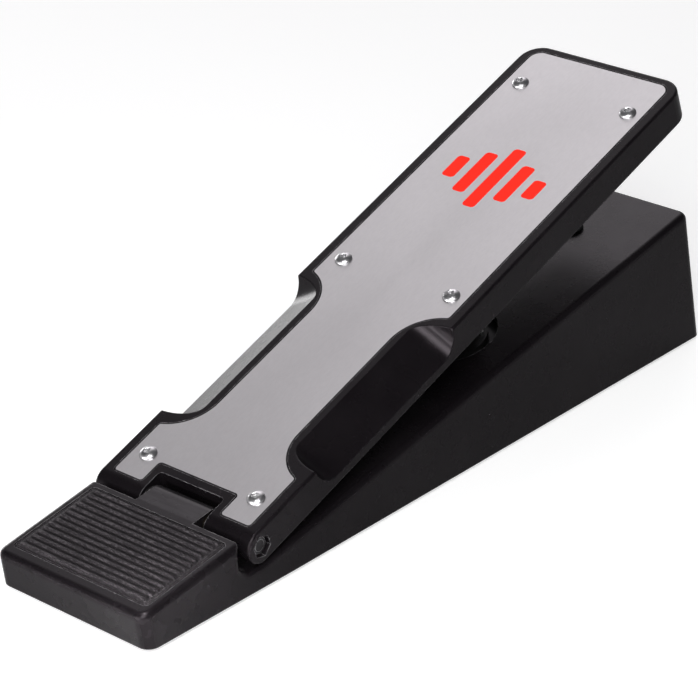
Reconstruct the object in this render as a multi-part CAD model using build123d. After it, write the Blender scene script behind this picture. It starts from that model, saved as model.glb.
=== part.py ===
from build123d import *
import math
import os

os.makedirs("parts", exist_ok=True)

# Foot-operated sustain pedal. Everything is modelled in millimetres in a working frame:
# X across, Y from the heel towards the toe, Z up. The lower edge of the base is at BASE_LOW.
# save() moves the working frame so that the origin is at the centre of the footprint, on the floor.

# ---- driving dimensions ----
BASE_LOW = -1.75
BASE_HALF = 41.6
HEEL_HALF = 40.5
HEEL_TAPER_END = 82.0
BASE_FRONT = 2.5
BASE_REAR = 361.0
BASE_CORNER = 5.0
DRAFT_DEG = 1.6
RIM_FILLET = 3.0
TROUGH_FILLET = 5.5
WALL = 3.2
FOOT_STAND = 2.0

HEEL_FAR = 53.4
HEEL_FAR_Z = 22.1
HEEL_SLOPE_DEG = 8.92

TOP_START = 60.0
TOP_START_Z = 7.2
TOP_END = 350.0
TOP_END_Z = 61.94
TROUGH_Z = 8.0

PIVOT_Y = 64.0
PIVOT_Z = 17.1
REST_DEG = 20.0
BOARD_HALF = 42.0
BOARD_LENGTH = 296.3
BOARD_TOP = 7.5
BOARD_BOTTOM = -7.45
BOARD_CORNER = 10.5
BOARD_EDGE = 1.3
LUG_GAP_HALF = 17.5
LUG_GAP_DEPTH = 8.7
TONGUE_HALF = 15.3

PLATE_THICK = 1.5
PLATE_HALF = 36.7
PLATE_HEEL = 1.3
PLATE_TOE = 292.0
WAIST_HALF = 21.5
WAIST_ARC = 21.0
WAIST_ARC_X = 42.5
WAIST_HEEL = 50.0
WAIST_TOE = 110.0
SCREW_X = 29.1
SCREW_ROWS = (14.4, 141.8, 269.8)

SCOOP_INNER = 25.2
SCOOP_LIP = -3.2
SCOOP_HEEL = 36.3
SCOOP_TOE = 125.8
SCOOP_COVE = 9.5

HOLE_Y = 223.0
HOLE_R = 25.0
BUMPER_Y = 315.0
BUMPER_R = 5.8
BUMPER_H = 3.0

SLEEVE_R = 16.0
SLEEVE_BORE = 13.5
RING_R = 28.0
RING_THICK = 2.0
BUFFER_THICK = 1.5
STOP_GAP = 0.3

COVER_Z = BASE_LOW + 0.3
COVER_THICK = 2.0
COVER_TOP = COVER_Z + COVER_THICK

AXLE_R = 2.5
JACK_X = -18.0
SWITCH_X = 14.0
PORT_Z = 19.0
PORT_FLOOR_Y = 352.5
PORT_WALL_Y = PORT_FLOOR_Y - 3.0
JACK_END_Y = PORT_FLOOR_Y + 4.2
JACK_BORE_DEPTH = 28.0
JACK_BORE_R = 3.25
BOARD_Z = 8.0
BOARD_THICK = 1.6

LEVER_X = 6.0
LEVER_ARM = 62.0
LEVER_SWEEP_DEG = 27.0
NOSE_R = 1.5

# ---- worked-out values ----
REST = math.radians(REST_DEG)
TOP_SLOPE = (TOP_END_Z - TOP_START_Z) / (TOP_END - TOP_START)
TOP_DEG = math.degrees(math.atan(TOP_SLOPE))
HEEL_TAN = math.tan(math.radians(HEEL_SLOPE_DEG))
REAR_TAN = (BASE_REAR - TOP_END) / (TOP_END_Z - BASE_LOW)
KNUCKLE_TOP_Z = HEEL_FAR_Z + (PIVOT_Y - HEEL_FAR) * HEEL_TAN
KNUCKLE_R = (KNUCKLE_TOP_Z - PIVOT_Z) * math.cos(math.radians(HEEL_SLOPE_DEG))


def top_z(y):
    return TOP_START_Z + (y - TOP_START) * TOP_SLOPE


def heel_z(y):
    return HEEL_FAR_Z + (y - HEEL_FAR) * HEEL_TAN


# The footboard's own frame: origin on the pivot, X across, Y along the board, Z out of its top.
board_frame = Plane(
    origin=(0, PIVOT_Y, PIVOT_Z), x_dir=(1, 0, 0), z_dir=(0, -math.sin(REST), math.cos(REST))
)
# The base's sloping top, with its origin at the centre of the large hole.
top_rad = math.radians(TOP_DEG)
top_frame = Plane(
    origin=(0, HOLE_Y, top_z(HOLE_Y)), x_dir=(1, 0, 0), z_dir=(0, -math.sin(top_rad), math.cos(top_rad))
)
heel_rad = math.radians(HEEL_SLOPE_DEG)
heel_frame = Plane(
    origin=(0, 28.5, heel_z(28.5)), x_dir=(1, 0, 0), z_dir=(0, -math.sin(heel_rad), math.cos(heel_rad))
)


def on_board(shape):
    return board_frame.location * shape


def on_top(shape):
    return top_frame.location * shape


def side_slab(points, half_width):
    """A prism across X from points given as (y, z)."""
    face = Plane.YZ * Polygon(*points, align=None)
    return extrude(face, amount=half_width, both=True)


def rod_x(x0, x1, y, z, r):
    """A round bar along X."""
    return Pos((x0 + x1) / 2, y, z) * Rot(0, 90, 0) * Cylinder(r, x1 - x0)


def rod_y(y0, y1, x, z, r):
    """A round bar along Y."""
    return Pos(x, (y0 + y1) / 2, z) * Rot(90, 0, 0) * Cylinder(r, y1 - y0)


def post(x, y, z0, z1, r):
    """A round bar along Z."""
    return Pos(x, y, (z0 + z1) / 2) * Cylinder(r, z1 - z0)


def block(x0, x1, y0, y1, z0, z1):
    return Pos((x0 + x1) / 2, (y0 + y1) / 2, (z0 + z1) / 2) * Box(x1 - x0, y1 - y0, z1 - z0)


def half_width(y):
    """Half of the base's width at its lower edge: narrower towards the heel."""
    share = min(1.0, (y - BASE_FRONT) / (HEEL_TAPER_END - BASE_FRONT))
    return HEEL_HALF + (BASE_HALF - HEEL_HALF) * share


def side_walls(inset=0.0, low=BASE_LOW, ends=30.0):
    """The space between the base's side walls, which lean in by the draft."""
    y0, y1 = BASE_FRONT - ends, BASE_REAR + ends
    points = [(half_width(y) - inset, y) for y in (y0, HEEL_TAPER_END, y1)]
    outline = points + [(-x, y) for x, y in reversed(points)]
    return Pos(0, 0, low) * extrude(Polygon(*outline, align=None), amount=75, taper=DRAFT_DEG)


def footprint(inset=0.0, corner=BASE_CORNER):
    """The base's outline at its lower edge."""
    y0, y1 = BASE_FRONT + inset, BASE_REAR - inset
    points = [(half_width(y) - inset, y) for y in (y0, HEEL_TAPER_END, y1)]
    outline = Polygon(*points, *[(-x, y) for x, y in reversed(points)], align=None)
    ends = [v for v in outline.vertices() if abs(v.Y - HEEL_TAPER_END) > 1]
    return fillet(ends, corner)


COVER_SCREW_PLACES = ((34.2, 11.5), (35.4, 100), (35.4, 178), (35.4, 268), (35.4, 346.5))
COVER_SCREWS = [(side * x, y) for x, y in COVER_SCREW_PLACES for side in (-1, 1)]


def nearest_edges(shape, points):
    """The edge whose middle is nearest to each point."""
    return [min(shape.edges(), key=lambda e: (e.center() - Vector(*p)).length) for p in points]


def both_sides(points):
    return [(side * x, y, z) for x, y, z in points for side in (-1, 1)]


def front_y(z):
    """The heel wall, square to the heel rest's slope."""
    return BASE_FRONT - (z - BASE_LOW) * HEEL_TAN


def rear_y(z):
    return BASE_REAR - (z - BASE_LOW) * REAR_TAN


def base_outer():
    trough_y = TOP_START + (TROUGH_Z - TOP_START_Z) / TOP_SLOPE
    front = HEEL_FAR_Z - HEEL_FAR * HEEL_TAN
    front = (front_y(front), front)
    rear_top = (TOP_END, TOP_END_Z)
    profile = side_slab(
        [
            (BASE_FRONT, BASE_LOW),
            front,
            (HEEL_FAR, HEEL_FAR_Z),
            (HEEL_FAR, TROUGH_Z),
            (trough_y, TROUGH_Z),
            rear_top,
            (BASE_REAR, BASE_LOW),
        ],
        60,
    )
    trough = profile.edges().filter_by(Axis.X).sort_by_distance((0, HEEL_FAR, TROUGH_Z))[0]
    profile = fillet(trough, TROUGH_FILLET)
    shell = side_walls() & profile
    middle_low = (BASE_LOW + front[1]) / 2
    corners = both_sides([(HEEL_HALF, front_y(middle_low), middle_low)])
    middle_low = (BASE_LOW + TOP_END_Z) / 2
    corners += both_sides([(BASE_HALF, rear_y(middle_low), middle_low)])
    shell = fillet(nearest_edges(shell, corners), BASE_CORNER)
    middle = (trough_y + TOP_END) / 2
    rim = both_sides(
        [
            (BASE_HALF - 1.0, middle, top_z(middle)),
            (BASE_HALF - 0.4, 61.6, TROUGH_Z),
            (BASE_HALF - 0.4, 55, 9.6),
            (BASE_HALF - 0.6, HEEL_FAR, 17.8),
            (HEEL_HALF - 0.3, 28, heel_z(28)),
            (HEEL_HALF - 1.8, front[0] + 1.5, front[1]),
            (BASE_HALF - 3.2, TOP_END - 1.5, TOP_END_Z - 0.3),
        ]
    )
    rim += [(0, *rear_top), (0, *front)]
    return fillet(nearest_edges(shell, rim), RIM_FILLET)


def base_tongue():
    """The hinge block between the footboard's two lugs, ending in a round knuckle."""
    arm = side_slab(
        [
            (45, 3),
            (45, heel_z(45)),
            (PIVOT_Y - KNUCKLE_R * math.sin(heel_rad), PIVOT_Z + KNUCKLE_R * math.cos(heel_rad)),
            (PIVOT_Y, PIVOT_Z),
            (PIVOT_Y + KNUCKLE_R, PIVOT_Z),
            (PIVOT_Y + KNUCKLE_R, 5),
        ],
        TONGUE_HALF,
    )
    return arm + rod_x(-TONGUE_HALF, TONGUE_HALF, PIVOT_Y, PIVOT_Z, KNUCKLE_R)


def base_cavities():
    drop = WALL / math.cos(top_rad)
    main = side_slab(
        [
            (78, COVER_TOP),
            (78, top_z(78) - drop),
            (TOP_END - WALL, top_z(TOP_END - WALL) - drop),
            (rear_y(COVER_TOP) - WALL, COVER_TOP),
        ],
        60,
    )
    roof = WALL + 0.8
    heel = side_slab([(6, COVER_TOP), (6, heel_z(6) - roof), (46, heel_z(46) - roof), (46, COVER_TOP)], 60)
    bosses = Sketch() + [Pos(x, y) * Circle(3.6) for x, y in COVER_SCREWS]
    space = side_walls(WALL + 0.2, COVER_TOP, 0) & (main + heel)
    space -= block(-BASE_HALF, BASE_HALF, PORT_WALL_Y, BASE_REAR, BASE_LOW, PORT_Z + 14)
    return space - Pos(0, 0, -5) * extrude(bosses, amount=70)


def rear_ports():
    recess = extrude(RectangleRounded(66, 22, 4), amount=10)
    recess = Pos(-3, PORT_FLOOR_Y + 10, PORT_Z) * Rot(90, 0, 0) * recess
    jack = rod_y(PORT_WALL_Y - 1, PORT_FLOOR_Y + 1, JACK_X, PORT_Z, 4.9)
    x0, x1 = SWITCH_X - 4.6, SWITCH_X + 4.6
    slot = block(x0, x1, PORT_WALL_Y - 1, PORT_FLOOR_Y + 1, PORT_Z - 2.4, PORT_Z + 2.4)
    return recess + jack + slot


def base_housing():
    shell = base_outer() + base_tongue()
    shell -= base_cavities()
    shell -= Pos(0, 0, BASE_LOW) * extrude(footprint(2.5, 3.5), amount=COVER_TOP - BASE_LOW)
    shell -= rod_x(-TONGUE_HALF - 1, TONGUE_HALF + 1, PIVOT_Y, PIVOT_Z, 4.0)
    shell -= heel_frame.location * extrude(Pos(0, 0, -0.8) * RectangleRounded(72.6, 45.4, 2.3), amount=5)
    shell -= on_top(Cylinder(HOLE_R, 20))
    shell -= on_top(Pos(0, (BUMPER_Y - HOLE_Y) / math.cos(top_rad), 0) * Cylinder(2.5, 20))
    shell -= rear_ports()
    for x, y in COVER_SCREWS:
        shell -= post(x, y, COVER_TOP - 1, COVER_TOP + 7.2, 1.5)
    return shell


def bottom_cover():
    sheet = extrude(Pos(0, 0, COVER_Z) * footprint(2.7, 3.3), amount=COVER_THICK)
    for x, y in COVER_SCREWS:
        sheet -= post(x, y, COVER_Z - 1, COVER_TOP + 1, 1.6)
        sheet -= Pos(x, y, COVER_Z + 0.85) * Cone(3.15, 1.6, 1.7)
    return sheet


def cover_screw(x, y):
    """Countersunk M3 screw with a hexagon socket, driven upwards."""
    head = Pos(x, y, COVER_Z + 0.85) * Cone(3.1, 1.45, 1.7)
    shank = post(x, y, COVER_Z + 1.0, COVER_TOP + 6.7, 1.45)
    socket = Pos(x, y, COVER_Z) * extrude(RegularPolygon(1.1, 6), amount=1.2)
    return head + shank - socket


def rubber_foot(x, y):
    pad = post(x, y, BASE_LOW - FOOT_STAND, COVER_Z, 8.0)
    return fillet(pad.edges().sort_by(Axis.Z)[0], 0.6)


def heel_pad():
    """Ribbed rubber mat, inlaid in the heel rest."""
    mat = extrude(Pos(0, 0, -0.8) * RectangleRounded(72.0, 44.8, 2.0), amount=0.9)
    ribs = Part() + [Pos(0, -19.5 + 3.0 * i, 0.45) * Box(66, 1.6, 0.9) for i in range(14)]
    return heel_frame.location * (mat + ribs)


def plate_outline():
    sheet = Pos(0, (PLATE_HEEL + PLATE_TOE) / 2) * Rectangle(2 * PLATE_HALF, PLATE_TOE - PLATE_HEEL)
    middle = (WAIST_HEEL + WAIST_TOE) / 2
    for side in (-1, 1):
        for y in (WAIST_HEEL, WAIST_TOE):
            sheet -= Pos(side * WAIST_ARC_X, y) * Circle(WAIST_ARC)
        sheet -= Pos(side * (WAIST_HALF + 20), middle) * Rectangle(40, WAIST_TOE - WAIST_HEEL)
    sheet -= Pos(0, PLATE_HEEL + 5.75) * Rectangle(2 * 21.2, 11.5)
    corners = sheet.vertices()
    toe = [v for v in corners if v.Y > PLATE_TOE - 1]
    sheet = fillet(toe, 5.5)
    small = [v for v in sheet.vertices() if v.Y < 14 or (abs(v.X) > PLATE_HALF - 0.5 and v.Y < 140)]
    return fillet(small, 1.6)


PLATE = plate_outline()
PLATE_LEVEL = BOARD_TOP - PLATE_THICK


def scoop_cutter(side):
    """Removes a finger scoop: a sloping floor with coved ends, open to the side of the board."""
    slope = math.atan2(BOARD_TOP - SCOOP_LIP, BOARD_HALF - SCOOP_INNER)
    length = SCOOP_TOE - SCOOP_HEEL
    tool = Box(70, length, 40, align=(Align.MIN, Align.CENTER, Align.MIN))
    ends = tool.edges().filter_by(Axis.X).sort_by(Axis.Z)[:2]
    tool = fillet(ends, SCOOP_COVE)
    tool = Pos(-20, 0, 0) * tool
    tool = Rot(0, math.degrees(slope), 0) * tool
    tool = Pos(SCOOP_INNER, (SCOOP_HEEL + SCOOP_TOE) / 2, BOARD_TOP) * tool
    return tool if side > 0 else mirror(tool, Plane.YZ)


def board_body():
    radius = (BOARD_TOP - BOARD_BOTTOM) / 2
    mid = (BOARD_TOP + BOARD_BOTTOM) / 2
    plan = Pos(0, (BOARD_LENGTH - 12) / 2) * Rectangle(2 * BOARD_HALF, BOARD_LENGTH + 12)
    toe = [v for v in plan.vertices() if v.Y > 0]
    plan = fillet(toe, BOARD_CORNER)
    slab = extrude(Pos(0, 0, BOARD_BOTTOM) * plan, amount=BOARD_TOP - BOARD_BOTTOM)
    nose = rod_x(-BOARD_HALF, BOARD_HALF, 0, mid, radius) + block(
        -BOARD_HALF, BOARD_HALF, 0, BOARD_LENGTH, BOARD_BOTTOM, BOARD_TOP
    )
    body = slab & nose
    tops = both_sides([(BOARD_HALF, BOARD_LENGTH / 2, BOARD_TOP), (BOARD_HALF, -radius, mid)])
    tops.append((0, BOARD_LENGTH, BOARD_TOP))
    corner = BOARD_CORNER * (1 - math.sqrt(0.5))
    tops += both_sides([(BOARD_HALF - corner, BOARD_LENGTH - corner, BOARD_TOP)])
    body = fillet(nearest_edges(body, tops), BOARD_EDGE)
    for side in (-1, 1):
        body -= scoop_cutter(side)
    rims = [e for e in body.edges().group_by(Axis.Z)[-1] if SCOOP_HEEL - 1 < e.center().Y < SCOOP_TOE + 1]
    rims = [e for e in rims if abs(e.center().X) < BOARD_HALF - 2]
    return fillet(rims, 0.5)


def board_pockets():
    """Weight-saving pockets under the board, with cross ribs left between them."""
    roof = 1.5
    spans = [
        (16, 52, 19),
        (55, 90, 19),
        (93, 131, 19),
        (136, 202, 36.5),
        (206, 243, 36.5),
        (270.5, 290, 36.5),
    ]
    pockets = Part() + [block(-w, w, a, b, BOARD_BOTTOM - 1, roof) for a, b, w in spans]
    for side in (-1, 1):
        pockets += block(*sorted((side * 14, side * 36.5)), 246.5, 267, BOARD_BOTTOM - 1, roof)
    for side in (-1, 1):
        for s in SCREW_ROWS[1:]:
            pockets -= post(side * SCREW_X, s, -5, 5, 4.5)
    return fillet(pockets.edges().filter_by(Axis.Z).group_by(SortBy.LENGTH)[-1], 2.0)


def footboard():
    body = board_body()
    body -= board_pockets()
    notch = block(-LUG_GAP_HALF, LUG_GAP_HALF, -20, LUG_GAP_DEPTH, -20, 20)
    body -= fillet(notch.edges().filter_by(Axis.Z).sort_by(Axis.Y)[2:], 2.0)
    body -= extrude(Pos(0, 0, PLATE_LEVEL) * offset(PLATE, 0.45), amount=5)
    body -= rod_x(-50, 50, 0, 0, AXLE_R + 0.05)
    body -= rod_x(-50, -BOARD_HALF + 4.2, 0, 0, 5.0)
    body -= Pos(BOARD_HALF - 5.5, 0, 0) * Rot(0, 90, 0) * extrude(RegularPolygon(4.85, 6), amount=20)
    for side in (-1, 1):
        for s in SCREW_ROWS:
            body -= post(side * SCREW_X, s, -4.5, 10, 2.05)
    for x, s in SLEEVE_SCREWS:
        body -= post(x, s, 0, 5.5, 1.5)
    return body


EMBLEM_BARS = ((-21, 14), (-10.5, 27), (0, 40), (10.5, 24), (21, 12))
EMBLEM_BAR_WIDTH = 6.5
EMBLEM_S = 211.0
EMBLEM_DEPTH = 0.4


def emblem_outline():
    """Five upright bars of differing height, like a level meter."""
    bars = Sketch()
    for x, h in EMBLEM_BARS:
        bars += Pos(x, EMBLEM_S) * RectangleRounded(EMBLEM_BAR_WIDTH, h, 1.8)
    return bars


def tread_plate():
    sheet = extrude(Pos(0, 0, PLATE_LEVEL) * PLATE, amount=PLATE_THICK)
    sheet = chamfer(sheet.edges().group_by(Axis.Z)[-1], 0.25)
    sheet -= extrude(Pos(0, 0, BOARD_TOP - EMBLEM_DEPTH) * emblem_outline(), amount=2)
    for side in (-1, 1):
        for s in SCREW_ROWS:
            sheet -= post(side * SCREW_X, s, 0, 10, 2.15)
    return sheet


def emblem():
    return extrude(Pos(0, 0, BOARD_TOP - EMBLEM_DEPTH) * emblem_outline(), amount=EMBLEM_DEPTH)


def tread_screw(x, s):
    """M4 button-head screw."""
    dome = Pos(0, 0, BOARD_TOP - 2.3) * Sphere(4.5)
    head = dome & (Pos(0, 0, BOARD_TOP) * Cylinder(3.8, 2.2, align=(Align.CENTER, Align.CENTER, Align.MIN)))
    socket = Pos(0, 0, BOARD_TOP + 0.8) * extrude(RegularPolygon(1.45, 6), amount=3)
    shank = post(0, 0, -3.5, BOARD_TOP + 0.1, 2.0)
    return Pos(x, s, 0) * (head + shank - socket)


def hinge_bolt():
    """M5 hinge bolt: round head on the left, nut on the right."""
    shank = rod_x(-BOARD_HALF + 3.0, BOARD_HALF - 1.4, 0, 0, AXLE_R)
    head = rod_x(-BOARD_HALF + 0.8, -BOARD_HALF + 4.2, 0, 0, 4.6)
    head = chamfer(head.edges().sort_by(Axis.X)[0], 0.8)
    socket = Pos(-BOARD_HALF + 0.7, 0, 0) * Rot(0, 90, 0) * extrude(RegularPolygon(1.75, 6), amount=2.0)
    return head + shank - socket


def hinge_nut():
    hexagon = Pos(BOARD_HALF - 5.5, 0, 0) * Rot(0, 90, 0) * extrude(RegularPolygon(4.6, 6), amount=3.2)
    collar = rod_x(BOARD_HALF - 3.0, BOARD_HALF - 1.6, 0, 0, 3.5)
    return hexagon + collar - rod_x(0, 60, 0, 0, AXLE_R + 0.03)


def hinge_bush(side):
    """Flanged bush pressed into one end of the base's knuckle."""
    sleeve = rod_x(TONGUE_HALF - 11, TONGUE_HALF, PIVOT_Y, PIVOT_Z, 4.0)
    flange = rod_x(TONGUE_HALF, TONGUE_HALF + 0.8, PIVOT_Y, PIVOT_Z, 5.6)
    bush = sleeve + flange - rod_x(0, 30, PIVOT_Y, PIVOT_Z, AXLE_R + 0.06)
    return bush if side > 0 else mirror(bush, Plane.YZ)


def thrust_washer(side):
    washer = rod_x(TONGUE_HALF + 1.1, TONGUE_HALF + 2.1, 0, 0, 5.8) - rod_x(0, 30, 0, 0, AXLE_R + 0.03)
    return washer if side > 0 else mirror(washer, Plane.YZ)


# ---- plunger group under the footboard ----
RING_TOP = -(WALL + BUFFER_THICK + STOP_GAP)
SLEEVE_S = (HOLE_Y - PIVOT_Y) * math.cos(REST) + 59.0 * math.sin(REST)
FLANGE_TOP = 1.5
FLANGE_THICK = 2.5
FLANGE_HALF = 23.0
SLEEVE_SCREWS = [(sx * 19.0, SLEEVE_S + ss * 19.0) for sx in (-1, 1) for ss in (-1, 1)]
RING_SCREW_R = 17.9
RING_SCREW_ANGLES = [math.radians(a) for a in (30, 150, 270)]
RING_SCREWS = [(RING_SCREW_R * math.cos(a), RING_SCREW_R * math.sin(a)) for a in RING_SCREW_ANGLES]
SPRING_TOP = 68.5
SPRING_BOTTOM = COVER_TOP + 1.5
SPRING_R = 9.6
SPRING_WIRE = 2.2
SPRING_TURNS = 9


def ceiling_slab(low, high):
    """Space between two levels of the footboard's own frame."""
    return on_board(block(-60, 60, -20, 400, low, high))


def below_ring_plane():
    return on_top(block(-60, 60, -100, 100, -60, RING_TOP))


def plunger_sleeve():
    """Vertical sleeve round the return spring, bolted under the footboard."""
    flange = extrude(
        Pos(0, SLEEVE_S, FLANGE_TOP - FLANGE_THICK) * RectangleRounded(2 * FLANGE_HALF, 2 * FLANGE_HALF, 6),
        amount=FLANGE_THICK,
    )
    tube = post(0, HOLE_Y, 0, 100, SLEEVE_R)
    tube -= ceiling_slab(FLANGE_TOP - 0.5, 200)
    tube -= below_ring_plane()
    foot = on_top(Pos(0, 0, RING_TOP + 1.6) * Cylinder(20.5, 3.2))
    sleeve = on_board(flange) + tube + foot
    sleeve -= post(0, HOLE_Y, -20, SPRING_TOP, SLEEVE_BORE)
    for x, s in SLEEVE_SCREWS:
        sleeve -= on_board(post(x, s, -10, 10, 1.6))
    for x, y in RING_SCREWS:
        sleeve -= on_top(post(x, y, RING_TOP - 1, RING_TOP + 6, 1.05))
    return sleeve


def sleeve_screw(x, s):
    head = post(x, s, FLANGE_TOP - FLANGE_THICK - 2.0, FLANGE_TOP - FLANGE_THICK, 2.8)
    head = fillet(head.edges().sort_by(Axis.Z)[0], 0.7)
    shank = post(x, s, FLANGE_TOP - FLANGE_THICK, 5.2, 1.45)
    slot = extrude(Pos(x, s, FLANGE_TOP - FLANGE_THICK - 2.1) * RegularPolygon(1.3, 6), amount=1.3)
    return head + shank - slot


def limit_ring():
    """Flat ring on the sleeve's lower end. It catches under the base's top and stops the board."""
    ring = Pos(0, 0, RING_TOP - RING_THICK / 2) * Cylinder(RING_R, RING_THICK)
    ring -= Cylinder(SLEEVE_BORE, 60)
    for x, y in RING_SCREWS:
        ring -= post(x, y, -20, 0, 1.25)
    return ring


def ring_screw(x, y):
    head = post(x, y, RING_TOP - RING_THICK - 1.2, RING_TOP - RING_THICK, 2.1)
    shank = post(x, y, RING_TOP - RING_THICK, RING_TOP + 4.5, 1.0)
    slot = extrude(Pos(x, y, RING_TOP - RING_THICK - 1.3) * RegularPolygon(0.9, 6), amount=0.8)
    return head + shank - slot


def stop_buffer():
    """Rubber ring glued under the rim of the hole."""
    ring = Pos(0, 0, -WALL - BUFFER_THICK / 2) * (Cylinder(30.0, BUFFER_THICK) - Cylinder(HOLE_R + 0.3, 9))
    return ring


def toe_bumper():
    """Rubber bumper, pressed into the base's top, that the footboard lands on."""
    pad = Cylinder(BUMPER_R, BUMPER_H, align=(Align.CENTER, Align.CENTER, Align.MIN))
    pad = fillet(pad.edges().sort_by(Axis.Z)[-1], 1.0)
    stem = Pos(0, 0, -2.6) * Cylinder(2.45, 5.2)
    return Pos(0, (BUMPER_Y - HOLE_Y) / math.cos(top_rad), 0) * (pad + stem)


def spring_seat():
    disc = post(0, HOLE_Y, COVER_TOP, SPRING_BOTTOM, 12.0)
    spigot = post(0, HOLE_Y, SPRING_BOTTOM, SPRING_BOTTOM + 8, 8.0)
    spigot = chamfer(spigot.edges().sort_by(Axis.Z)[-1], 1.2)
    return disc + spigot


def return_spring():
    """Compression spring with a round wire."""
    low = SPRING_BOTTOM + SPRING_WIRE / 2 + 0.1
    high = SPRING_TOP - SPRING_WIRE / 2 - 0.1
    pitch = (high - low) / SPRING_TURNS
    path = Helix(pitch=pitch, height=pitch, radius=SPRING_R)
    start = Plane(origin=path @ 0, z_dir=path % 0)
    turn = sweep(start * Circle(SPRING_WIRE / 2), path=path, is_frenet=True)
    return Part() + [Pos(0, HOLE_Y, low + i * pitch) * turn for i in range(SPRING_TURNS)]


# ---- position sensor ----
RING_EDGE_Y = HOLE_Y + math.sqrt(RING_R**2 - (LEVER_X - 1.5) ** 2) * math.cos(top_rad)
NOSE_Y = RING_EDGE_Y + 1.0
HALF_SWEEP = math.radians(LEVER_SWEEP_DEG / 2)
LEVER_Y = NOSE_Y + LEVER_ARM * math.cos(HALF_SWEEP)
LEVER_Z = 18.9
HUB_R = 4.0
FLAG_R = 15.5


def sensor_lever():
    """Follower lever: nose under the limit ring, flag in the light gate."""
    nose_y = NOSE_Y
    nose_z = LEVER_Z + LEVER_ARM * math.sin(HALF_SWEEP)
    span = math.hypot(LEVER_Y - nose_y, nose_z - LEVER_Z)
    lean = math.asin((HUB_R - NOSE_R) / span)
    angle = math.atan2(nose_z - LEVER_Z, nose_y - LEVER_Y)
    rim = []
    for sign in (1, -1):
        a = angle + sign * (math.pi / 2 - lean)
        near = (LEVER_Y + HUB_R * math.cos(a), LEVER_Z + HUB_R * math.sin(a))
        far = (nose_y + NOSE_R * math.cos(a), nose_z + NOSE_R * math.sin(a))
        rim.append((near, far))
    web = Plane.YZ * Polygon(rim[0][0], rim[0][1], rim[1][1], rim[1][0], align=None)
    bar = Pos(LEVER_X, 0, 0) * extrude(web, amount=1.5, both=True)
    bar += rod_x(LEVER_X - 2.5, LEVER_X + 2.5, LEVER_Y, LEVER_Z, HUB_R)
    bar += rod_x(LEVER_X - 1.5, LEVER_X + 1.5, nose_y, nose_z, NOSE_R)
    flag = Rot(-LEVER_SWEEP_DEG / 2, 0, 0) * block(-0.6, 0.6, 2, FLAG_R, -2, 2)
    flag = Pos(LEVER_X, LEVER_Y, LEVER_Z) * flag
    return bar + flag - rod_x(LEVER_X - 5, LEVER_X + 5, LEVER_Y, LEVER_Z, 1.55)


def lever_bracket():
    """U-shaped bracket on the bottom cover."""
    foot = block(LEVER_X - 5, LEVER_X + 5, LEVER_Y - 6, LEVER_Y + 5, COVER_TOP, COVER_TOP + 1.5)
    walls = Part()
    for side in (-1, 1):
        x0, x1 = sorted((LEVER_X + side * 3.2, LEVER_X + side * 5))
        wall = block(x0, x1, LEVER_Y - 4, LEVER_Y + 4, COVER_TOP, LEVER_Z)
        walls += wall + rod_x(x0, x1, LEVER_Y, LEVER_Z, 4.0)
    return foot + walls - rod_x(LEVER_X - 9, LEVER_X + 9, LEVER_Y, LEVER_Z, 1.5)


def lever_pin():
    pin = rod_x(LEVER_X - 6, LEVER_X + 6, LEVER_Y, LEVER_Z, 1.5)
    return pin + rod_x(LEVER_X - 6.8, LEVER_X - 5, LEVER_Y, LEVER_Z, 2.4)


BOARD_X0, BOARD_X1 = -31.0, 29.0
BOARD_Y0, BOARD_Y1 = LEVER_Y + 9.0, PORT_WALL_Y - 0.7
BOARD_SCREWS = [(x, y) for x in (BOARD_X0 + 3.0, BOARD_X1 - 3.0) for y in (BOARD_Y0 + 3.5, BOARD_Y1 - 3.5)]
BOARD_TOP_Z = BOARD_Z + BOARD_THICK


def circuit_board():
    sheet = block(BOARD_X0, BOARD_X1, BOARD_Y0, BOARD_Y1, BOARD_Z, BOARD_TOP_Z)
    for x, y in BOARD_SCREWS:
        sheet -= post(x, y, 0, 20, 1.35)
    return sheet


def board_standoff(x, y):
    return post(x, y, COVER_TOP, BOARD_Z, 2.8) - post(x, y, COVER_TOP + 1, 20, 1.2)


def board_screw(x, y):
    head = post(x, y, BOARD_TOP_Z, BOARD_TOP_Z + 1.6, 2.3)
    head = fillet(head.edges().sort_by(Axis.Z)[-1], 0.6)
    shank = post(x, y, COVER_TOP + 1.5, BOARD_TOP_Z, 1.15)
    slot = extrude(Pos(x, y, BOARD_TOP_Z + 0.8) * RegularPolygon(1.0, 6), amount=2)
    return head + shank - slot


def light_gate():
    """Forked light barrier: the lever's flag moves in its slot."""
    y0 = LEVER_Y + 9.6
    y1 = y0 + 6.0
    body = block(LEVER_X - 3.6, LEVER_X + 3.6, y0, y1, BOARD_TOP_Z, BOARD_TOP_Z + 10)
    return body - block(LEVER_X - 1.4, LEVER_X + 1.4, y0 - 1, y1 + 1, BOARD_TOP_Z + 2, BOARD_TOP_Z + 20)


def board_parts():
    """Controller chip, two capacitors and a pin header on the board."""
    chip = block(-3, 4, BOARD_Y0 + 14, BOARD_Y0 + 19, BOARD_TOP_Z, BOARD_TOP_Z + 1.4)
    can_a = post(20, BOARD_Y0 + 9, BOARD_TOP_Z, BOARD_TOP_Z + 6, 2.5)
    can_b = post(20, BOARD_Y0 + 15, BOARD_TOP_Z, BOARD_TOP_Z + 6, 2.5)
    return [chip, can_a, can_b]


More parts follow.
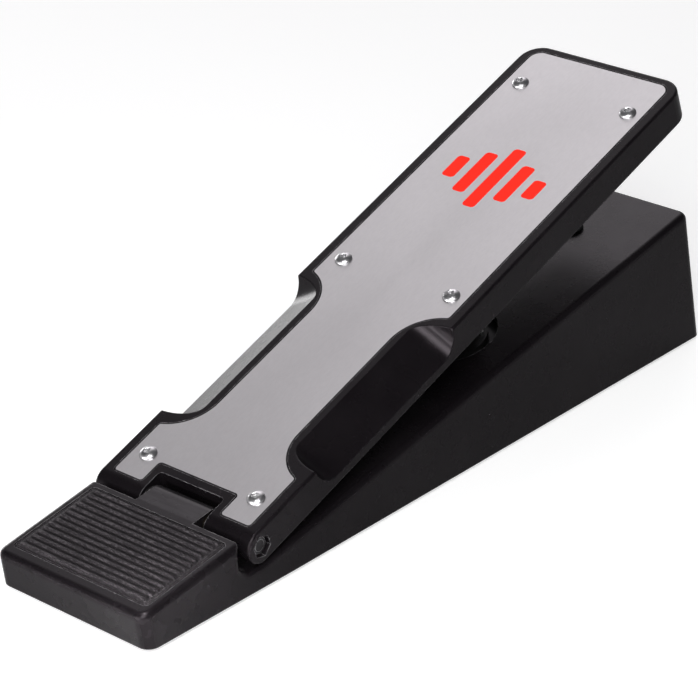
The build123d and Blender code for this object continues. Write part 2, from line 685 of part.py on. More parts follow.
def jack_socket():
    """6.35 mm stereo socket for the instrument lead, with its threaded nose through the rear wall."""
    body = block(JACK_X - 7, JACK_X + 7, PORT_WALL_Y - 28, PORT_WALL_Y, BOARD_TOP_Z, PORT_Z + 8.5)
    body = fillet(body.edges().filter_by(Axis.Y), 1.0)
    nose = rod_y(PORT_WALL_Y - 1, JACK_END_Y, JACK_X, PORT_Z, 4.75)
    return body + nose - rod_y(JACK_END_Y - JACK_BORE_DEPTH, JACK_END_Y + 1, JACK_X, PORT_Z, JACK_BORE_R)


def jack_washer():
    ring = rod_y(PORT_FLOOR_Y, PORT_FLOOR_Y + 0.7, JACK_X, PORT_Z, 8.2)
    return ring - rod_y(PORT_FLOOR_Y - 3, PORT_FLOOR_Y + 9, JACK_X, PORT_Z, 4.85)


def jack_nut():
    turned = Rot(90, 0, 0) * extrude(RegularPolygon(7.6, 6), amount=2.2)
    turned = Pos(JACK_X, PORT_FLOOR_Y + 2.9, PORT_Z) * turned
    return turned - rod_y(PORT_FLOOR_Y - 3, PORT_FLOOR_Y + 9, JACK_X, PORT_Z, 4.8)


def slide_switch():
    """Polarity switch body with a slot for its slider."""
    body = block(SWITCH_X - 7, SWITCH_X + 7, PORT_WALL_Y - 6.5, PORT_WALL_Y, BOARD_TOP_Z, PORT_Z + 4.4)
    x0, x1 = SWITCH_X - 5.0, SWITCH_X + 5.0
    return body - block(x0, x1, PORT_WALL_Y - 4.3, PORT_WALL_Y + 1, PORT_Z - 2.5, PORT_Z + 2.5)


SLIDER_TRAVEL = 4.6


def polarity_slider():
    x = SWITCH_X - SLIDER_TRAVEL / 2
    knob = block(x - 1.9, x + 1.9, PORT_WALL_Y - 3.9, PORT_FLOOR_Y + 3.5, PORT_Z - 1.9, PORT_Z + 1.9)
    knob = fillet(knob.edges().group_by(Axis.Y)[-1], 0.5)
    return knob


RUBBER_FEET = [(x, y) for x in (-27, 27) for y in (25, 333)]


def group(solids):
    return Compound(children=list(solids))


HOUSING = base_housing()
REACH = HOUSING.bounding_box()
CENTRE_Y = (REACH.min.Y + REACH.max.Y) / 2
FLOOR_Z = BASE_LOW - FOOT_STAND


def save(name, shape):
    export_step(Pos(0, -CENTRE_Y, -FLOOR_Z) * shape, f"parts/{name}.step")


save("base_housing", HOUSING)
save("bottom_cover", bottom_cover())
save("cover_screws", group(cover_screw(x, y) for x, y in COVER_SCREWS))
save("rubber_feet", group(rubber_foot(x, y) for x, y in RUBBER_FEET))
save("heel_pad", heel_pad())
save("hinge_bushes", group(hinge_bush(s) for s in (-1, 1)))
save("stop_buffer", on_top(stop_buffer()))
save("toe_bumper", on_top(toe_bumper()))
save("spring_seat", spring_seat())
save("return_spring", return_spring())
save("circuit_board", circuit_board())
save("board_standoffs", group(board_standoff(x, y) for x, y in BOARD_SCREWS))
save("board_screws", group(board_screw(x, y) for x, y in BOARD_SCREWS))
save("board_components", group(board_parts()))
save("light_gate", light_gate())
save("lever_bracket", lever_bracket())
save("lever_pin", lever_pin())
save("sensor_lever", sensor_lever())
save("jack_socket", jack_socket())
save("jack_washer", jack_washer())
save("jack_nut", jack_nut())
save("slide_switch", slide_switch())
save("polarity_slider", polarity_slider())
save("footboard", on_board(footboard()))
save("tread_plate", on_board(tread_plate()))
save("tread_screws", on_board(group(tread_screw(side * SCREW_X, s) for s in SCREW_ROWS for side in (-1, 1))))
save("emblem", on_board(emblem()))
save("hinge_bolt", on_board(hinge_bolt()))
save("hinge_nut", on_board(hinge_nut()))
save("thrust_washers", on_board(group(thrust_washer(s) for s in (-1, 1))))
save("plunger_sleeve", plunger_sleeve())
save("sleeve_screws", on_board(group(sleeve_screw(x, s) for x, s in SLEEVE_SCREWS)))
save("limit_ring", on_top(limit_ring()))
save("ring_screws", on_top(group(ring_screw(x, y) for x, y in RING_SCREWS)))

print("centre", round(CENTRE_Y, 4), "floor", FLOOR_Z, "lever pivot", round(LEVER_Y, 4), LEVER_Z)
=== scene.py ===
"""Sustain pedal: looks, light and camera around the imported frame."""

import math

import bpy
import numpy as np
from mathutils import Matrix, Vector


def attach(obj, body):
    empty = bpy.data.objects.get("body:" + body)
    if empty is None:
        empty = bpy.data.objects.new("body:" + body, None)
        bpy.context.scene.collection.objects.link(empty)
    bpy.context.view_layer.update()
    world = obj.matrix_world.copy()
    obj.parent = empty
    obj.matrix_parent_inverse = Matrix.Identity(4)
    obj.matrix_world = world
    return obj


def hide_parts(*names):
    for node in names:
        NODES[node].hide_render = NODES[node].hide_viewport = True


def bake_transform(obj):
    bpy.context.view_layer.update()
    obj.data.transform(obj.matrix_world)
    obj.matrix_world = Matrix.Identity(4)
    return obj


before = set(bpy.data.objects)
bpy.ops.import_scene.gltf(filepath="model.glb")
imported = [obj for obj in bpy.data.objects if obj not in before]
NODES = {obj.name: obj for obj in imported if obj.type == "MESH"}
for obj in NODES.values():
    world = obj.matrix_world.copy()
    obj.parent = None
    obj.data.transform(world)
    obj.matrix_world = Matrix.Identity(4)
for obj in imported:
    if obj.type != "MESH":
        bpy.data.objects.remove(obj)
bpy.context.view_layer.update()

# The frame's origin is on the floor, under the middle of the base. The dimensions in this script that
# come from the drawing count Y from the heel and Z from the base's lower edge; row() places them.
CENTRE_Y = 180.7505
FLOOR_Z = -3.75


def row(x, y, z):
    """A point of the drawing, in millimetres, as a point of the frame, in metres."""
    return Vector((x, y - CENTRE_Y, z - FLOOR_Z)) / 1000.0


# The hinge's axis, and how far the footboard stands up at rest.
PIVOT = row(0.0, 64.0, 17.1)
BOARD_REST = math.radians(20.0)
BOARD_UP = (0.0, -math.sin(BOARD_REST), math.cos(BOARD_REST))


def link(obj):
    bpy.context.scene.collection.objects.link(obj)
    return obj


# ---------------------------------------------------------------- camera
AZIMUTH = math.radians(41.103)
ELEVATION = math.radians(25.827)
ROLL = math.radians(-0.694)
DISTANCE = 1.208341
AIM = row(-15.002, 181.274, 40.0)
LENS_MM = 148.58
SENSOR_MM = 36.0
CLIP = (0.05, 50.0)


def make_camera():
    """Camera at the given azimuth and elevation from the heel, slightly rolled."""
    back = Vector(
        (
            math.sin(AZIMUTH) * math.cos(ELEVATION),
            -math.cos(AZIMUTH) * math.cos(ELEVATION),
            math.sin(ELEVATION),
        )
    )
    right = Vector((math.cos(AZIMUTH), math.sin(AZIMUTH), 0.0))
    up = back.cross(right)
    rolled_right = right * math.cos(ROLL) + up * math.sin(ROLL)
    rolled_up = up * math.cos(ROLL) - right * math.sin(ROLL)
    data = bpy.data.cameras.new("camera")
    data.lens = LENS_MM
    data.sensor_width = SENSOR_MM
    data.sensor_fit = "HORIZONTAL"
    data.clip_start, data.clip_end = CLIP
    camera = link(bpy.data.objects.new("camera", data))
    turn = Matrix((rolled_right, rolled_up, back)).transposed().to_4x4()
    camera.matrix_world = Matrix.Translation(AIM + back * DISTANCE) @ turn
    bpy.context.scene.camera = camera


make_camera()

# ---------------------------------------------------------------- mesh and node helpers


def mesh_object(name, verts, faces):
    """Smooth-shaded mesh object in the scene."""
    data = bpy.data.meshes.new(name)
    data.from_pydata([tuple(v) for v in verts], [], faces)
    data.update()
    data.polygons.foreach_set("use_smooth", [True] * len(data.polygons))
    return link(bpy.data.objects.new(name, data))


def add_node(tree, kind, inputs=None, **props):
    """New node. An input is either a value or another node's output socket."""
    node = tree.nodes.new(kind)
    for key, value in props.items():
        setattr(node, key, value)
    for key, value in (inputs or {}).items():
        if isinstance(value, bpy.types.NodeSocket):
            tree.links.new(value, node.inputs[key])
        else:
            node.inputs[key].default_value = value
    return node


def new_material(name):
    material = bpy.data.materials.new(name)
    material.use_nodes = True
    return material, material.node_tree, material.node_tree.nodes["Principled BSDF"]


def noise(tree, coords, scale, detail=2.0, rough=0.5):
    inputs = {"Vector": coords, "Scale": scale, "Detail": detail, "Roughness": rough}
    return add_node(tree, "ShaderNodeTexNoise", inputs).outputs["Fac"]


def mapped(tree, value, to, over=(0.3, 0.7)):
    """Maps the range over, which suits a noise's middle, to the range to, clamped at both ends."""
    inputs = {"Value": value, "From Min": over[0], "From Max": over[1], "To Min": to[0], "To Max": to[1]}
    return add_node(tree, "ShaderNodeMapRange", inputs).outputs["Result"]


def multiplied(tree, a, b):
    return add_node(tree, "ShaderNodeMath", {0: a, 1: b}, operation="MULTIPLY").outputs[0]


def facing(tree, normal, towards):
    """Cosine of the angle between two directions."""
    return add_node(tree, "ShaderNodeVectorMath", {0: normal, 1: towards}, operation="DOT_PRODUCT").outputs["Value"]


def blend_colours(tree, fac, a, b):
    node = add_node(tree, "ShaderNodeMix", data_type="RGBA")
    tree.links.new(fac, node.inputs["Factor"])
    for socket, value in ((node.inputs[6], a), (node.inputs[7], b)):
        if isinstance(value, bpy.types.NodeSocket):
            tree.links.new(value, socket)
        else:
            socket.default_value = (*value, 1.0)
    return node.outputs[2]


def bump(tree, height, strength, distance, normal=None):
    inputs = {"Height": height, "Strength": strength, "Distance": distance}
    if normal is not None:
        inputs["Normal"] = normal
    return add_node(tree, "ShaderNodeBump", inputs).outputs["Normal"]


def object_coords(tree, scale=(1.0, 1.0, 1.0)):
    coords = add_node(tree, "ShaderNodeTexCoord").outputs["Object"]
    if scale == (1.0, 1.0, 1.0):
        return coords
    return add_node(tree, "ShaderNodeMapping", {"Vector": coords, "Scale": scale}).outputs["Vector"]


def finish_surface(tree, bsdf, colour, rough, normal):
    tree.links.new(colour, bsdf.inputs["Base Color"])
    tree.links.new(rough, bsdf.inputs["Roughness"])
    tree.links.new(normal, bsdf.inputs["Normal"])


def sharp_edge_mask(tree, radius):
    """1 on sharp edges, 0 on flat faces."""
    rounded = add_node(tree, "ShaderNodeBevel", {"Radius": radius}, samples=4).outputs["Normal"]
    flat = add_node(tree, "ShaderNodeNewGeometry").outputs["Normal"]
    return mapped(tree, facing(tree, rounded, flat), (1.0, 0.0), (0.80, 0.97))


def inside_box(tree, coords, low, high, soft):
    """1 inside a box of object coordinates, fading out over a short way."""
    parts = add_node(tree, "ShaderNodeSeparateXYZ", {"Vector": coords})
    mask = None
    for axis, a, b in zip("XYZ", low, high):
        for start, end in ((a - soft, a + soft), (b + soft, b - soft)):
            side = mapped(tree, parts.outputs[axis], (0.0, 1.0), (start, end))
            mask = side if mask is None else multiplied(tree, mask, side)
    return mask


# Colour of the gloss on the coating and the mat.
GLOSS_TINT = (1.0, 0.89, 0.97, 1.0)
# Colour of the coating's lighter edges: partly wear, partly a painted highlight along them.
EDGE_WEAR_AND_HIGHLIGHT = (0.30, 0.29, 0.30)
# Colour of the tongue's lighter patch: partly wear, partly a painted sheen.
RUB_AND_SHEEN = (0.028, 0.026, 0.028)


def powder_coat(name, dark, light, rough, specular, sheen_and_rub_box=None):
    """Satin powder coat: fine grain over a soft orange peel, lighter at the edges and in a box, partly from wear and
    partly as a painted highlight and sheen.
    """
    material, tree, bsdf = new_material(name)
    coords = object_coords(tree)
    fine = noise(tree, coords, scale=2600.0)
    soft = noise(tree, coords, scale=520.0, detail=1.0)
    wide = noise(tree, coords, scale=38.0, detail=3.0)
    colour = blend_colours(tree, mapped(tree, wide, (0.0, 1.0)), dark, light)
    # Edges turn lighter in patches: partly wear, partly a painted highlight.
    scuff = mapped(tree, noise(tree, coords, scale=300.0, detail=4.0, rough=0.7), (0.25, 0.9), (0.40, 0.60))
    wear_and_highlight = multiplied(tree, sharp_edge_mask(tree, 0.0005), scuff)
    colour = blend_colours(tree, wear_and_highlight, colour, EDGE_WEAR_AND_HIGHLIGHT)
    roughness = mapped(tree, noise(tree, coords, scale=90.0, detail=3.0), rough)
    # A lighter, streaky patch in the box: partly wear, partly a painted sheen.
    if sheen_and_rub_box:
        patch = inside_box(tree, coords, *sheen_and_rub_box, soft=0.0004)
        streaks = noise(tree, object_coords(tree, (0.15, 1.0, 1.0)), scale=420.0, detail=3.0)
        patch = multiplied(tree, patch, mapped(tree, streaks, (0.45, 1.0)))
        colour = blend_colours(tree, patch, colour, RUB_AND_SHEEN)
    normal = bump(tree, soft, strength=0.05, distance=0.0004)
    normal = bump(tree, fine, strength=0.05, distance=0.0001, normal=normal)
    bsdf.inputs["Specular IOR Level"].default_value = specular
    bsdf.inputs["Specular Tint"].default_value = GLOSS_TINT
    finish_surface(tree, bsdf, colour, roughness, normal)
    return material


def sheet_metal(name, tint, tint2, rough, strength, stretch=(1.0, 1.0, 1.0), anisotropic=0.0, edge=None, face=None):
    """Bare metal with a fine grain, which stretch draws out along an axis.

    edge is the colour of its edges. They are found by their roundness or, where face gives the direction that the
    sheet faces, as whatever is turned away from it; the edge colour there is a painted shade.
    """
    material, tree, bsdf = new_material(name)
    lines = noise(tree, object_coords(tree, stretch), scale=900.0, detail=3.0, rough=0.6)
    clouds = noise(tree, object_coords(tree), scale=22.0, detail=3.0)
    colour = blend_colours(tree, mapped(tree, clouds, (0.0, 1.0)), tint, tint2)
    colour = blend_colours(tree, mapped(tree, lines, (0.0, 0.12)), colour, tuple(0.7 * c for c in tint))
    roughness = mapped(tree, lines, rough)
    # Edges turned away from face take the edge colour as a painted shade, and turn rougher.
    if face:
        normal = add_node(tree, "ShaderNodeTexCoord").outputs["Normal"]
        edges = mapped(tree, facing(tree, normal, face), (1.0, 0.0), (0.85, 0.97))
        roughness = add_node(tree, "ShaderNodeMath", {0: roughness, 1: edges}, operation="MAXIMUM").outputs[0]
        colour = blend_colours(tree, edges, colour, edge)
    elif edge:
        colour = blend_colours(tree, sharp_edge_mask(tree, 0.0004), colour, edge)
    normal = bump(tree, lines, strength=strength, distance=0.0001)
    bsdf.inputs["Metallic"].default_value = 1.0
    bsdf.inputs["Anisotropic"].default_value = anisotropic
    finish_surface(tree, bsdf, colour, roughness, normal)
    return material


def moulded(name, dark, light, rough, scale, strength, specular):
    """Moulded plastic or rubber with a spark-eroded grain."""
    material, tree, bsdf = new_material(name)
    coords = object_coords(tree)
    fine = noise(tree, coords, scale=scale, detail=3.0, rough=0.6)
    wide = noise(tree, coords, scale=60.0)
    colour = blend_colours(tree, mapped(tree, wide, (0.0, 1.0)), dark, light)
    roughness = mapped(tree, fine, rough)
    normal = bump(tree, fine, strength=strength, distance=0.00015)
    bsdf.inputs["Specular IOR Level"].default_value = specular
    finish_surface(tree, bsdf, colour, roughness, normal)
    return material


def rubber_mat(name, dark, light):
    """Granular rubber: pale rubbed grains on the ribs, and painted shade that darkens it between them."""
    material, tree, bsdf = new_material(name)
    coords = object_coords(tree)
    coarse = noise(tree, object_coords(tree, (0.55, 1.0, 1.0)), scale=1500.0, detail=4.0, rough=0.75)
    wide = noise(tree, object_coords(tree, (0.4, 1.0, 1.0)), scale=160.0, detail=3.0, rough=0.6)
    # Ambient occlusion darkens the mat between the ribs: painted shade.
    open_sky = add_node(tree, "ShaderNodeAmbientOcclusion", {"Distance": 0.0016}, samples=8).outputs["AO"]
    unshaded = mapped(tree, open_sky, (0.0, 1.0), (0.76, 0.96))
    grains = mapped(tree, coarse, (0.0, 1.0), (0.47, 0.58))
    wear_and_shade = multiplied(tree, grains, unshaded)
    wear_and_shade = multiplied(tree, wear_and_shade, mapped(tree, wide, (0.35, 1.0)))
    colour = blend_colours(tree, wear_and_shade, dark, light)
    roughness = mapped(tree, coarse, (0.45, 0.75))
    normal = bump(tree, coarse, strength=0.9, distance=0.0005)
    normal = bump(tree, noise(tree, coords, scale=5200.0), strength=0.3, distance=0.0001, normal=normal)
    bsdf.inputs["Specular IOR Level"].default_value = 0.35
    bsdf.inputs["Specular Tint"].default_value = GLOSS_TINT
    finish_surface(tree, bsdf, colour, roughness, normal)
    return material


# ---------------------------------------------------------------- materials
BLACK = (0.0042, 0.0034, 0.0041)
BLACK_LIGHT = (0.0062, 0.0052, 0.0060)
CAST_ROUGH = (0.25, 0.29)
CAST_SPECULAR = 0.13
# The tongue between the hinge lugs, which the footboard has rubbed; its lighter patch is also a painted sheen.
TONGUE_BOX = (row(-15.0, 54.5, 12.0), row(15.0, 80.0, 30.0))

BASE_CAST = powder_coat("cast_base", BLACK, BLACK_LIGHT, CAST_ROUGH, CAST_SPECULAR, sheen_and_rub_box=TONGUE_BOX)
CAST = powder_coat("cast_black", BLACK, BLACK_LIGHT, CAST_ROUGH, CAST_SPECULAR)
COVER = powder_coat("cover_black", (0.018, 0.018, 0.020), (0.024, 0.024, 0.026), rough=(0.45, 0.55), specular=0.4)

# The tread plate's dark edges are a painted shade.
TREAD = sheet_metal(
    "tread_satin",
    (0.60, 0.585, 0.595),
    (0.63, 0.615, 0.625),
    rough=(0.30, 0.38),
    strength=0.04,
    stretch=(1.0, 0.06, 1.0),
    anisotropic=0.2,
    edge=(0.06, 0.055, 0.06),
    face=BOARD_UP,
)
BRIGHT = sheet_metal("screw_bright", (0.60, 0.59, 0.60), (0.52, 0.52, 0.53), rough=(0.27, 0.37), strength=0.05)
DARK_STEEL = sheet_metal(
    "black_oxide",
    (0.055, 0.052, 0.055),
    (0.035, 0.034, 0.036),
    rough=(0.34, 0.48),
    strength=0.08,
    edge=(0.55, 0.54, 0.55),
)
ZINC = sheet_metal("zinc", (0.62, 0.63, 0.66), (0.52, 0.52, 0.50), rough=(0.26, 0.40), strength=0.08)
NICKEL = sheet_metal("nickel", (0.70, 0.67, 0.62), (0.62, 0.59, 0.55), rough=(0.14, 0.24), strength=0.05)
# The bushes' bronze is darkened to a painted shade, as dark as the gap they sit in.
BRONZE = sheet_metal("bronze_in_shade", (0.040, 0.030, 0.020), (0.030, 0.023, 0.016), rough=(0.35, 0.50), strength=0.15)
WIRE = sheet_metal(
    "spring_wire", (0.40, 0.40, 0.41), (0.30, 0.30, 0.31), rough=(0.25, 0.38), strength=0.06, stretch=(1.0, 1.0, 0.2)
)

PAD_RUBBER = rubber_mat("rubber_pad", (0.0030, 0.0027, 0.0030), (0.092, 0.083, 0.089))
# Name, its two colours, roughness, grain scale, bump strength and specular level.
RUBBER, NYLON, SWITCH, RED, LAMINATE = (
    moulded(*settings)
    for settings in (
        ("rubber_black", (0.014, 0.014, 0.015), (0.022, 0.022, 0.023), (0.6, 0.8), 900.0, 0.35, 0.3),
        ("nylon_black", (0.006, 0.006, 0.006), (0.010, 0.010, 0.010), (0.42, 0.55), 1800.0, 0.1, 0.2),
        ("switch_black", (0.020, 0.020, 0.021), (0.028, 0.028, 0.030), (0.3, 0.4), 2200.0, 0.06, 0.4),
        ("enamel_red", (0.90, 0.022, 0.009), (0.86, 0.019, 0.008), (0.32, 0.40), 900.0, 0.05, 0.06),
        ("laminate_green", (0.010, 0.085, 0.040), (0.014, 0.110, 0.050), (0.25, 0.4), 700.0, 0.1, 0.5),
    )
)

FINISH = {
    "base_housing": BASE_CAST,
    "footboard": CAST,
    "bottom_cover": COVER,
    "cover_screws": DARK_STEEL,
    "rubber_feet": RUBBER,
    "heel_pad": PAD_RUBBER,
    "hinge_bushes": BRONZE,
    "stop_buffer": RUBBER,
    "toe_bumper": RUBBER,
    "spring_seat": NYLON,
    "return_spring": WIRE,
    "circuit_board": LAMINATE,
    "board_standoffs": ZINC,
    "board_screws": ZINC,
    "board_components": SWITCH,
    "light_gate": SWITCH,
    "lever_bracket": ZINC,
    "lever_pin": ZINC,
    "sensor_lever": NYLON,
    "jack_socket": NYLON,
    "jack_washer": NICKEL,
    "jack_nut": NICKEL,
    "slide_switch": SWITCH,
    "polarity_slider": SWITCH,
    "tread_plate": TREAD,
    "tread_screws": BRIGHT,
    "emblem": RED,
    "hinge_bolt": DARK_STEEL,
    "hinge_nut": DARK_STEEL,
    "thrust_washers": NYLON,
    "plunger_sleeve": NYLON,
    "sleeve_screws": ZINC,
    "limit_ring": DARK_STEEL,
    "ring_screws": ZINC,
}

for name, obj in NODES.items():
    for slot in obj.material_slots:
        slot.material = FINISH[name]

# ---------------------------------------------------------------- heel pad
# The heel rest slopes down towards the heel from its highest edge.
HEEL_SLOPE = math.radians(8.92)
HEEL_EDGE_Y = 53.4
HEEL_EDGE_Z = 22.1
PAD_Y = 28.5
HEEL_MIDDLE = row(0.0, PAD_Y, HEEL_EDGE_Z - (HEEL_EDGE_Y - PAD_Y) * math.tan(HEEL_SLOPE))

PAD_HALF = (36.0, 22.4)
PAD_CORNER = 2.0
PAD_DEEP = 0.8
PAD_COLUMNS = 300
PAD_ROWS = 340
PAD_GRAIN = 0.012
PAD_SEED = 7

# The mat's rim starts below the face around it and rises to just above it, with a groove inside it.
RIM_LOW = -0.30
RIM_RISE = 0.42
RIM_WIDE = 0.45
GROOVE_DEEP = 0.34
GROOVE_AT = 0.95
GROOVE_HALF = 0.20

RIB_COUNT = 14
RIB_PITCH = 3.08
RIB_HALF = 0.94
RIB_REACH = 33.9
RIB_HIGH = 0.90


def smooth(value, low, high):
    """0 below low and 1 above high, with a soft start and end."""
    t = np.clip((value - low) / (high - low), 0.0, 1.0)
    return t * t * (3.0 - 2.0 * t)


def pad_height(x, y):
    """Height of the mat above the heel rest's face: rounded ribs inside a grooved border."""
    edge = np.minimum(PAD_HALF[0] - np.abs(x), PAD_HALF[1] - np.abs(y))
    corner = np.hypot(
        np.maximum(np.abs(x) - PAD_HALF[0] + PAD_CORNER, 0.0), np.maximum(np.abs(y) - PAD_HALF[1] + PAD_CORNER, 0.0)
    )
    edge = np.where(corner > 0.0, np.minimum(edge, PAD_CORNER - corner), edge)
    height = RIM_LOW + RIM_RISE * smooth(edge, 0.0, RIM_WIDE)
    height -= GROOVE_DEEP * np.exp(-(((edge - GROOVE_AT) / GROOVE_HALF) ** 2))
    first = -0.5 * RIB_PITCH * (RIB_COUNT - 1)
    index = np.clip(np.round((y - first) / RIB_PITCH), 0, RIB_COUNT - 1)
    across = y - first - index * RIB_PITCH
    away = np.hypot(np.maximum(np.abs(x) - RIB_REACH + RIB_HALF, 0.0), across)
    rib = RIB_HIGH * np.sqrt(np.clip(1.0 - (away / RIB_HALF) ** 3, 0.0, 1.0))
    return height + rib


def make_heel_pad():
    """Ribbed rubber mat, let into the heel rest."""
    columns, rows = PAD_COLUMNS, PAD_ROWS
    y = PAD_HALF[1] * np.linspace(-1.0, 1.0, rows)
    inset = np.maximum(np.abs(y) - PAD_HALF[1] + PAD_CORNER, 0.0)
    half = PAD_HALF[0] - PAD_CORNER + np.sqrt(PAD_CORNER**2 - inset**2)
    x = half[:, None] * np.linspace(-1.0, 1.0, columns)[None, :]
    y = np.repeat(y[:, None], columns, axis=1)
    z = pad_height(x, y) + np.random.default_rng(PAD_SEED).normal(0.0, PAD_GRAIN, x.shape)
    top = np.stack([x, y, z], axis=-1).reshape(-1, 3)
    index = np.arange(rows * columns).reshape(rows, columns)
    quads = np.stack([index[:-1, :-1], index[:-1, 1:], index[1:, 1:], index[1:, :-1]], axis=-1).reshape(-1, 4)
    faces = quads.tolist()
    ring = list(index[0, :]) + list(index[1:, -1]) + list(index[-1, -2::-1]) + list(index[-2:0:-1, 0])
    low = top[ring].copy()
    low[:, 2] = -PAD_DEEP
    base = len(top)
    count = len(ring)
    for i in range(count):
        j = (i + 1) % count
        faces.append((ring[j], ring[i], base + i, base + j))
    faces.append(tuple(base + i for i in reversed(range(count))))
    verts = np.vstack([top, low]) / 1000.0
    pad = mesh_object("heel_mat", verts, faces)
    pad.data.materials.append(PAD_RUBBER)
    pad.matrix_world = Matrix.Translation(HEEL_MIDDLE) @ Matrix.Rotation(HEEL_SLOPE, 4, "X")
    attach(pad, "base")
    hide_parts("heel_pad")


# ---------------------------------------------------------------- return spring
SPRING_Y = 223.0
SPRING_LOW = 2.05
SPRING_HIGH = 68.5
SPRING_RADIUS = 9.6
WIRE_RADIUS = 1.1
WIRE_SIDES = 12
SPRING_TURNS = 9
CLOSED_TURNS = 0.85
STEPS_PER_TURN = 48


def make_spring():
    """Compression spring whose end turns close up."""
    steps, sides, closed = SPRING_TURNS * STEPS_PER_TURN, WIRE_SIDES, CLOSED_TURNS
    turn = np.linspace(0.0, 1.0, steps + 1) * SPRING_TURNS
    climb = np.where(turn < closed, turn**2 / (2 * closed), turn - closed / 2)
    top = SPRING_TURNS - turn
    fall = np.where(top < closed, top**2 / (2 * closed), top - closed / 2)
    share = climb / (climb + fall)
    low = SPRING_LOW + WIRE_RADIUS
    high = SPRING_HIGH - WIRE_RADIUS
    angle = 2.0 * math.pi * turn
    line = np.stack(
        [SPRING_RADIUS * np.cos(angle), SPRING_RADIUS * np.sin(angle), low + (high - low) * share], axis=-1
    )
    along = np.gradient(line, axis=0)
    along /= np.linalg.norm(along, axis=1, keepdims=True)
    out = np.stack([np.cos(angle), np.sin(angle), np.zeros_like(angle)], axis=-1)
    up = np.cross(along, out)
    up /= np.linalg.norm(up, axis=1, keepdims=True)
    out = np.cross(up, along)
    ring = np.linspace(0.0, 2.0 * math.pi, sides, endpoint=False)
    verts = line[:, None, :] + WIRE_RADIUS * (
        out[:, None, :] * np.cos(ring)[None, :, None] + up[:, None, :] * np.sin(ring)[None, :, None]
    )
    verts = verts.reshape(-1, 3) / 1000.0 + np.array(row(0.0, SPRING_Y, 0.0))
    faces = []
    for i in range(steps):
        for j in range(sides):
            k = (j + 1) % sides
            faces.append((i * sides + j, i * sides + k, (i + 1) * sides + k, (i + 1) * sides + j))
    faces.append(tuple(reversed(range(sides))))
    faces.append(tuple(steps * sides + j for j in range(sides)))
    spring = mesh_object("coil_spring", verts, faces)
    spring.data.materials.append(WIRE)
    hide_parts("return_spring")
    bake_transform(spring)


# ---------------------------------------------------------------- plate screws
# Places on the footboard, in its own axes from the hinge.
SCREW_SIDE = 29.1
SCREW_ROWS = (14.4, 141.8, 269.8)
SCREW_PLACES = [(side * SCREW_SIDE, along) for along in SCREW_ROWS for side in (-1, 1)]
PLATE_TOP = 7.5
SCREW_SEGMENTS = 48
# Each screw is turned by its own angle, in radians.
FIRST_TURN = 0.35
NEXT_TURN = 0.83
SHARP_ANGLE = math.radians(38.0)
# Radius and height of the turned outside, from the shank's end to the socket's rim.
SCREW_OUTSIDE = (
    (1.5, -11.0),
    (2.0, -10.4),
    (2.0, 0.0),
    (3.72, 0.0),
    (3.80, 0.06),
    (3.80, 0.42),
    (3.72, 0.62),
    (3.52, 0.86),
    (3.20, 1.15),
    (2.80, 1.43),
    (2.35, 1.68),
    (2.05, 1.80),
)
# Distance from the middle to the socket's flats, and height, from its rim to its floor.
SCREW_SOCKET = ((1.52, 1.88), (1.38, 1.72), (1.36, 0.62), (1.20, 0.50), (0.55, 0.30))
SOCKET_FLOOR = 0.2


def screw_mesh(turn):
    """Button head with a hexagon socket, and its shank."""
    angles = np.linspace(0.0, 2.0 * math.pi, SCREW_SEGMENTS, endpoint=False)
    loops = [(np.full(SCREW_SEGMENTS, radius), height) for radius, height in SCREW_OUTSIDE]
    folded = np.mod(angles + turn, math.pi / 3) - math.pi / 6
    loops += [(flat / np.cos(folded), height) for flat, height in SCREW_SOCKET]
    verts = [(0.0, 0.0, loops[0][1])]
    for radii, height in loops:
        verts += [(r * math.cos(a), r * math.sin(a), height) for r, a in zip(radii, angles)]
    verts.append((0.0, 0.0, SOCKET_FLOOR))
    faces = []
    last = len(verts) - 1
    for j in range(SCREW_SEGMENTS):
        k = (j + 1) % SCREW_SEGMENTS
        faces.append((0, 1 + k, 1 + j))
        for i in range(len(loops) - 1):
            low, high = 1 + i * SCREW_SEGMENTS, 1 + (i + 1) * SCREW_SEGMENTS
            faces.append((low + j, low + k, high + k, high + j))
        top = 1 + (len(loops) - 1) * SCREW_SEGMENTS
        faces.append((top + j, top + k, last))
    return np.array(verts), faces


def make_plate_screws():
    """The six button-head screws that hold the tread plate."""
    verts, faces = [], []
    for number, (x, along) in enumerate(SCREW_PLACES):
        points, quads = screw_mesh(FIRST_TURN + NEXT_TURN * number)
        faces += [tuple(len(verts) + i for i in quad) for quad in quads]
        verts += [Vector(point) / 1000.0 + Vector((x, along, PLATE_TOP)) / 1000.0 for point in points]
    screws = mesh_object("plate_screws", verts, faces)
    screws.data.set_sharp_from_angle(angle=SHARP_ANGLE)
    screws.data.materials.append(BRIGHT)
    screws.matrix_world = Matrix.Translation(PIVOT) @ Matrix.Rotation(BOARD_REST, 4, "X")
    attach(screws, "footboard")
    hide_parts("tread_screws")


make_heel_pad()
make_spring()
make_plate_screws()

# ---------------------------------------------------------------- stage and light
FLOOR_HALF = 6.0
FLOOR_GLOW = 0.58

HORIZON = (0.80, 0.80, 0.81)
ZENITH = (0.06, 0.06, 0.065)
# The sine of the height over which the horizon's tone gives way to the zenith's.
SKY_FADE = (0.02, 0.34)
# Colour of the diffuser and its brighter core, the way to its middle, and the cosines of the
# angles from there at which it starts and is full.
DIFFUSERS = (
    ((0.90, 0.88, 0.90), (-0.50, 0.52, 0.70), (0.80, 0.99)),
    ((2.6, 2.5, 2.6), (-0.50, 0.62, 0.60), (0.955, 1.0)),
)

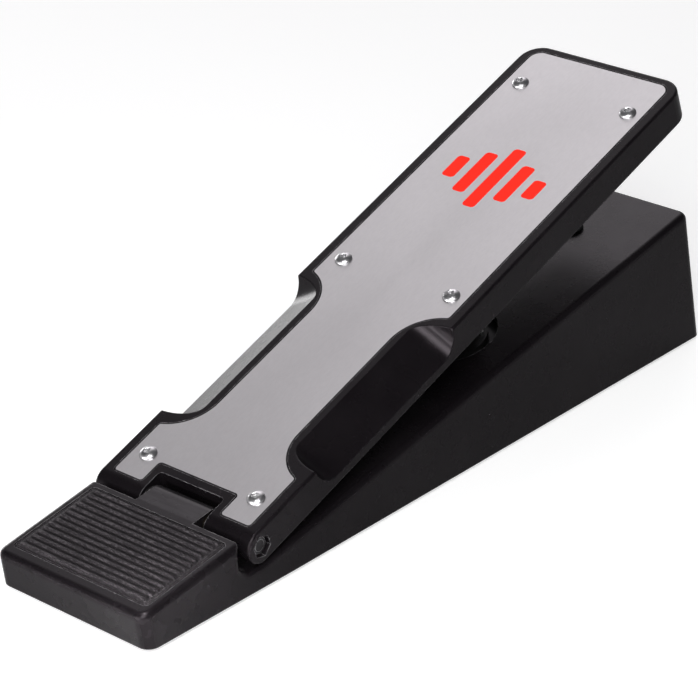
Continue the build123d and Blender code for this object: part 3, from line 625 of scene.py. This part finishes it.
# Name, place, point aimed at, size, watts and, for a narrow beam, its spread in degrees.
WIDE_SPREAD = 180.0
LIGHTS = (
    ("softbox_front_right", (0.66, -0.95, 0.84), (0, -0.10, 0.03), (0.7, 0.7), 20, WIDE_SPREAD),
    ("softbox_rear_left", (-1.9, 0.75, 0.2), (0, 0.05, 0.05), (1.0, 0.36), 9, WIDE_SPREAD),
    ("strip_front", (-0.2, -2.4, 0.42), (0, 0, 0.05), (2.4, 0.34), 44, WIDE_SPREAD),
    ("pool_right", (0.17, -0.23, 0.50), (0.17, -0.23, 0), (0.08, 0.08), 0.9, 36.0),
    ("pool_front", (0.03, -0.35, 0.50), (0.03, -0.35, 0), (0.08, 0.08), 1.5, 36.0),
)


def make_floor():
    """Plain pale floor. Only the camera sees its glow, which lights nothing."""
    half = FLOOR_HALF
    corners = [(-half, -half, 0), (half, -half, 0), (half, half, 0), (-half, half, 0)]
    floor = mesh_object("floor", corners, [(0, 1, 2, 3)])
    material, tree, bsdf = new_material("floor_pale")
    tone = noise(tree, object_coords(tree), scale=3.0)
    colour = blend_colours(tree, mapped(tree, tone, (0.0, 1.0)), (0.60, 0.60, 0.60), (0.62, 0.62, 0.62))
    tree.links.new(colour, bsdf.inputs["Base Color"])
    seen = add_node(tree, "ShaderNodeLightPath").outputs["Is Camera Ray"]
    tree.links.new(mapped(tree, seen, (0.0, FLOOR_GLOW), (0.0, 1.0)), bsdf.inputs["Emission Strength"])
    bsdf.inputs["Roughness"].default_value = 0.9
    bsdf.inputs["Specular IOR Level"].default_value = 0.1
    bsdf.inputs["Emission Color"].default_value = (1.0, 1.0, 1.0, 1.0)
    floor.data.materials.append(material)


def area_light(name, place, aim, size, power, spread):
    """Rectangular light that faces the point aimed at."""
    data = bpy.data.lights.new(name, "AREA")
    data.shape = "RECTANGLE"
    data.size, data.size_y = size
    data.energy = power
    data.spread = math.radians(spread)
    light = link(bpy.data.objects.new(name, data))
    place, aim = Vector(place), Vector(aim)
    light.matrix_world = Matrix.Translation(place) @ (place - aim).to_track_quat("Z", "Y").to_matrix().to_4x4()


def lobe(tree, direction, towards, start, full):
    """0 away from a direction, rising to 1 close to it."""
    near = facing(tree, direction, tuple(Vector(towards).normalized()))
    node = add_node(tree, "ShaderNodeMapRange", {"Value": near, "From Min": start, "From Max": full})
    node.interpolation_type = "SMOOTHSTEP"
    return node.outputs["Result"]


def make_world():
    """A pale room: bright at the horizon, dim overhead, with a large diffuser behind on the left."""
    world = bpy.data.worlds.new("room")
    bpy.context.scene.world = world
    world.use_nodes = True
    tree = world.node_tree
    direction = add_node(tree, "ShaderNodeTexCoord").outputs["Generated"]
    height = add_node(tree, "ShaderNodeSeparateXYZ", {"Vector": direction}).outputs["Z"]
    colour = blend_colours(tree, mapped(tree, height, (0.0, 1.0), SKY_FADE), HORIZON, ZENITH)
    for glow, towards, (start, full) in DIFFUSERS:
        colour = blend_colours(tree, lobe(tree, direction, towards, start, full), colour, glow)
    tree.links.new(colour, tree.nodes["Background"].inputs["Color"])


make_floor()
make_world()
for settings in LIGHTS:
    area_light(*settings)
bpy.context.scene.view_settings.view_transform = "Standard"
